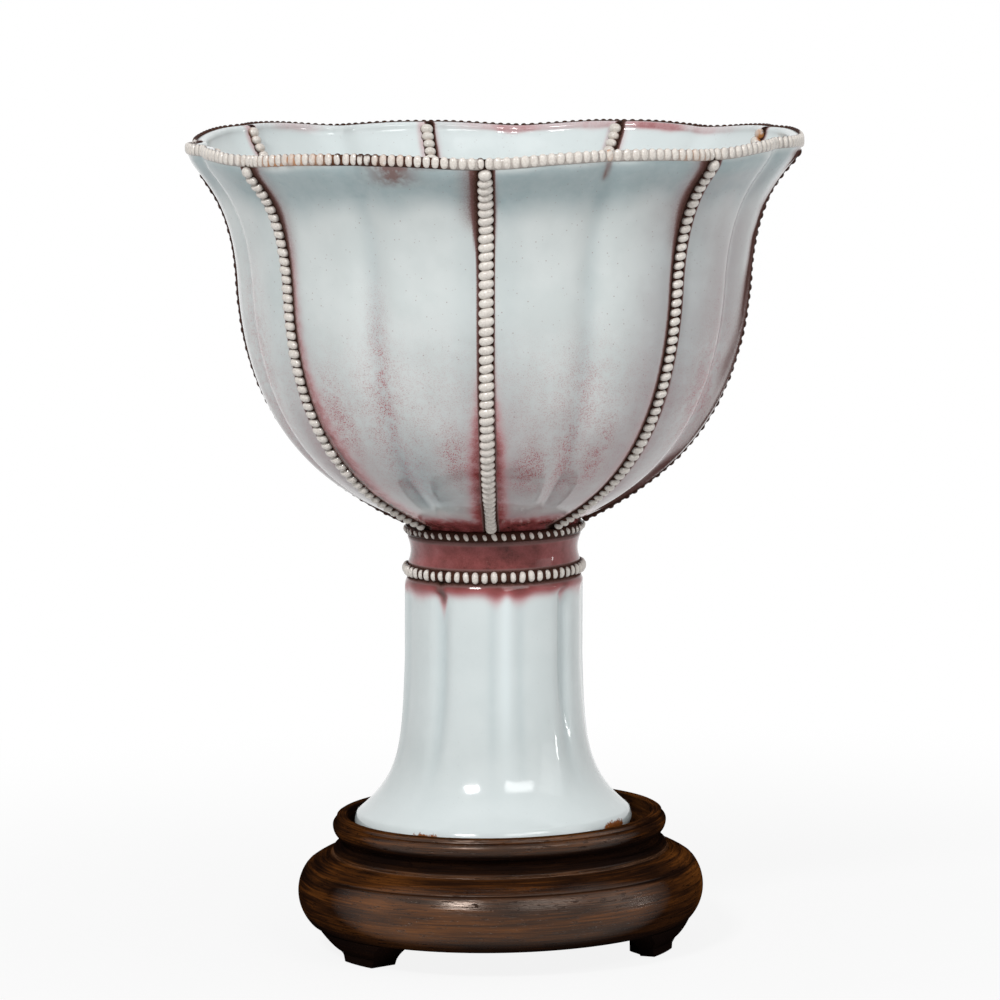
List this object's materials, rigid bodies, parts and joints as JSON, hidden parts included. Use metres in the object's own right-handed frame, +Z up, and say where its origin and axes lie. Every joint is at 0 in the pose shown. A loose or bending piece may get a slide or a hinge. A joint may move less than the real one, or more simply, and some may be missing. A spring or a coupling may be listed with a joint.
{
  "type": "stem cup",
  "caption": "Lobed porcelain stem cup with a flared beaded rim, beaded ribs inside and out and a hollow stem, standing in a turned wooden stand that it lifts out of.",
  "frame": {"origin": "under the middle of the rim, on the ground under the stand's feet", "axes": "+Z up, front towards -Y; the cup's axis leans 1.3 degrees towards +X"},
  "size_m": [0.1067, 0.1067, 0.1428],
  "materials": {
    "glaze": "glossy pale grey-blue glaze with copper-red blushes",
    "bead_glaze": "glossy cream glaze, dark red-brown between the beads",
    "slip": "fired clay slip, matt",
    "dark_wood": "dark brown polished hardwood"
  },
  "bodies": {
    "stand": {"stand_body": "dark_wood", "stand_foot_1": "dark_wood", "stand_foot_2": "dark_wood", "stand_foot_3": "dark_wood"},
    "cup": {"bowl": "glaze", "stem": "glaze", "luting_slip": "slip", "bowl_base_beading": "bead_glaze", "stem_beading": "bead_glaze", "rim_beading_1": "bead_glaze", "rim_beading_2": "bead_glaze", "rim_beading_3": "bead_glaze", "rim_beading_4": "bead_glaze", "rim_beading_5": "bead_glaze", "rim_beading_6": "bead_glaze", "rim_beading_7": "bead_glaze", "rim_beading_8": "bead_glaze", "outer_rib_1": "bead_glaze", "outer_rib_2": "bead_glaze", "outer_rib_3": "bead_glaze", "outer_rib_4": "bead_glaze", "outer_rib_5": "bead_glaze", "outer_rib_6": "bead_glaze", "outer_rib_7": "bead_glaze", "outer_rib_8": "bead_glaze", "inner_rib_1": "bead_glaze", "inner_rib_2": "bead_glaze", "inner_rib_3": "bead_glaze", "inner_rib_4": "bead_glaze", "inner_rib_5": "bead_glaze", "inner_rib_6": "bead_glaze", "inner_rib_7": "bead_glaze", "inner_rib_8": "bead_glaze"}
  },
  "joints": [
    {"name": "cup_lift", "type": "slide", "parent": "stand", "child": "cup", "axis": [0, 0, 1], "range_m": [0, 0.06]}
  ]
}
